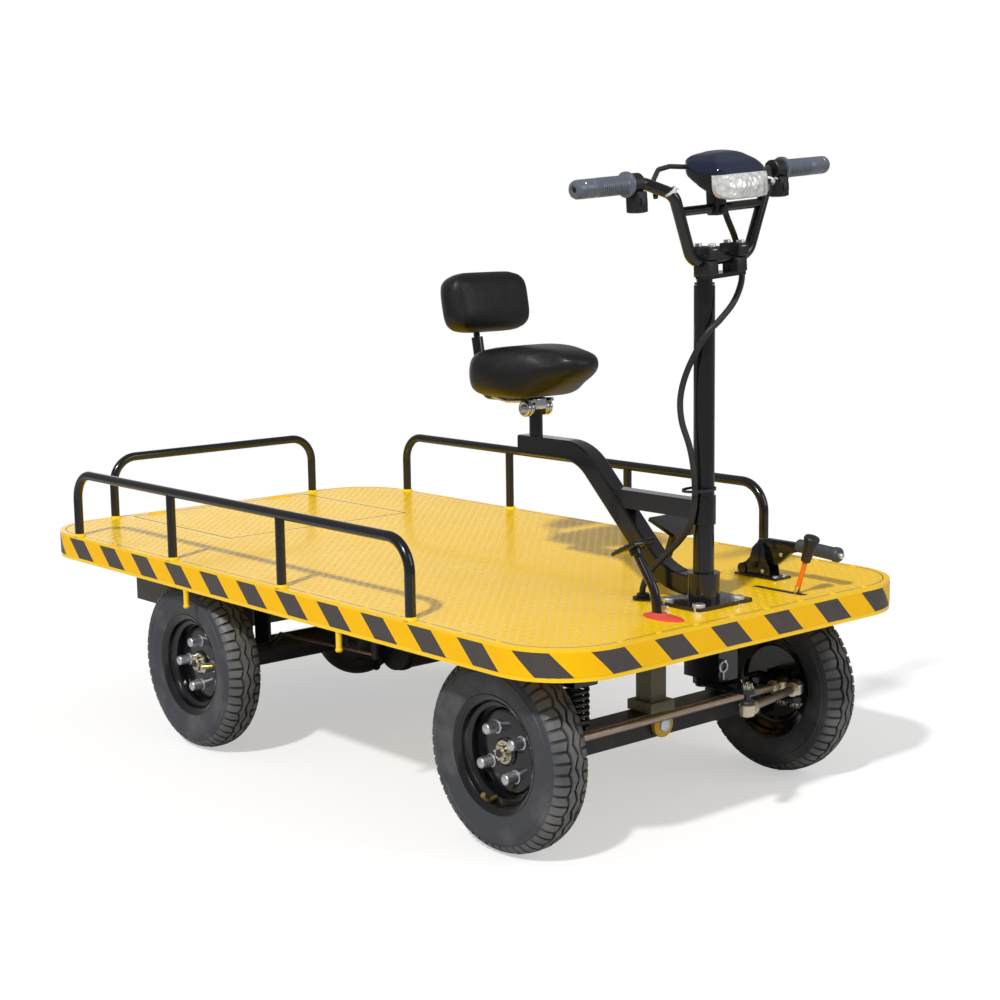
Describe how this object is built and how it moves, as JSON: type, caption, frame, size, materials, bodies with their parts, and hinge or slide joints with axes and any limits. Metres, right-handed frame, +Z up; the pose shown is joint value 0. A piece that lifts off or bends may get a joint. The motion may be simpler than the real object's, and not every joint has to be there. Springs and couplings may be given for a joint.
{
  "type": "electric platform truck",
  "caption": "Ride-on electric platform truck: flat checker-plate deck with hoop rails, handlebar steering on a column, saddle on a cantilever arm, battery hatch and disc wheels.",
  "frame": {"origin": "on the floor under the middle of the deck", "axes": "+X forward towards the handlebar, +Y to the truck's left, +Z up"},
  "size_m": [1.86, 1, 1.2815],
  "materials": {
    "deck_paint": "gloss yellow paint on fine checker plate",
    "tape": "amber and dark hazard tape on a painted skirt",
    "frame_paint": "satin dark grey paint",
    "battery_case": "matt",
    "black_paint": "gloss black paint",
    "spring_steel": "satin black paint",
    "chrome": "bright plating",
    "bare_steel": "zinc plated",
    "vinyl": "black grained vinyl",
    "red_rubber": "matt red",
    "selector_paint": "orange paint with a black knob",
    "cable_sheath": "matt black",
    "grip_rubber": "silver grey, ribbed",
    "control_plastic": "matt black",
    "lamp_shell": "gloss blue black",
    "lamp_lens": "clear, faceted behind",
    "tyre_rubber": "matt"
  },
  "bodies": {
    "chassis": {"deck_plate": "deck_paint", "rope_pegs": "deck_paint", "deck_skirt": "tape", "frame_rails": "frame_paint", "frame_cross": "frame_paint", "battery_tray": "frame_paint", "axle_post": "frame_paint", "battery_pack": "battery_case", "rail_right": "black_paint", "rail_left": "black_paint", "rail_rear": "black_paint", "steering_column": "black_paint", "column_bracket": "black_paint", "seat_arm": "black_paint", "seat_brace": "black_paint", "seat_post": "black_paint", "backrest_bracket": "black_paint", "brake_pedal": "black_paint", "foot_rest": "black_paint", "hand_brake": "black_paint", "front_beam": "black_paint", "rear_axle": "black_paint", "front_springs": "spring_steel", "seat_clamp": "chrome", "saddle": "vinyl", "backrest": "vinyl", "pedal_boot": "red_rubber", "selector_lever": "selector_paint", "control_cable": "cable_sheath", "cable_gland": "cable_sheath"},
    "hatch": {"hatch_lid": "deck_paint"},
    "steering": {"steering_shaft": "black_paint", "handlebar": "black_paint", "bar_clamps": "black_paint", "grips": "grip_rubber", "bar_controls": "control_plastic", "headlamp": "lamp_shell", "headlamp_lens": "lamp_lens"},
    "knuckle_right": {"knuckle_right": "black_paint"},
    "knuckle_left": {"knuckle_left": "black_paint"},
    "track_rod": {"track_rod": "bare_steel"},
    "drag_link": {"drag_link": "bare_steel"},
    "wheel_front_right": {"rim_front_right": "black_paint", "tyre_front_right": "tyre_rubber"},
    "wheel_front_left": {"rim_front_left": "black_paint", "tyre_front_left": "tyre_rubber"},
    "wheel_rear_right": {"rim_rear_right": "black_paint", "tyre_rear_right": "tyre_rubber"},
    "wheel_rear_left": {"rim_rear_left": "black_paint", "tyre_rear_left": "tyre_rubber"}
  },
  "joints": [
    {"name": "steer", "type": "hinge", "parent": "chassis", "child": "steering", "pos_m": [0.8, 0, 0.435], "axis": [0, 0, 1], "range_deg": [-35, 35], "deforming": ["control_cable"]},
    {"name": "knuckle_right_turn", "type": "hinge", "parent": "chassis", "child": "knuckle_right", "pos_m": [0.66, -0.306, 0.175], "axis": [0, 0, 1], "range_deg": [-35, 35]},
    {"name": "knuckle_left_turn", "type": "hinge", "parent": "chassis", "child": "knuckle_left", "pos_m": [0.66, 0.306, 0.175], "axis": [0, 0, 1], "range_deg": [-35, 35]},
    {"name": "track_rod_pivot", "type": "hinge", "parent": "knuckle_left", "child": "track_rod", "pos_m": [0.737, 0.306, 0.208], "axis": [0, 0, 1], "range_deg": [-35, 35]},
    {"name": "drag_link_pivot", "type": "hinge", "parent": "steering", "child": "drag_link", "pos_m": [0.912, 0, 0.249], "axis": [0, 0, 1], "range_deg": [-35, 35]},
    {"name": "hatch_hinge", "type": "hinge", "parent": "chassis", "child": "hatch", "pos_m": [-0.8935, 0, 0.435], "axis": [0, -1, 0], "range_deg": [0, 80]},
    {"name": "wheel_front_right_spin", "type": "hinge", "parent": "knuckle_right", "child": "wheel_front_right", "pos_m": [0.66, -0.376, 0.19], "axis": [0, 1, 0], "continuous": true},
    {"name": "wheel_front_left_spin", "type": "hinge", "parent": "knuckle_left", "child": "wheel_front_left", "pos_m": [0.66, 0.376, 0.19], "axis": [0, 1, 0], "continuous": true},
    {"name": "wheel_rear_right_spin", "type": "hinge", "parent": "chassis", "child": "wheel_rear_right", "pos_m": [-0.33, -0.418, 0.19], "axis": [0, 1, 0], "continuous": true},
    {"name": "wheel_rear_left_spin", "type": "hinge", "parent": "chassis", "child": "wheel_rear_left", "pos_m": [-0.33, 0.418, 0.19], "axis": [0, 1, 0], "continuous": true}
  ],
  "couplings": [
    {"joint": "knuckle_right_turn", "follows": "steer", "ratio": 1},
    {"joint": "knuckle_left_turn", "follows": "steer", "ratio": 1},
    {"joint": "track_rod_pivot", "follows": "steer", "ratio": -1},
    {"joint": "drag_link_pivot", "follows": "steer", "ratio": -1}
  ]
}
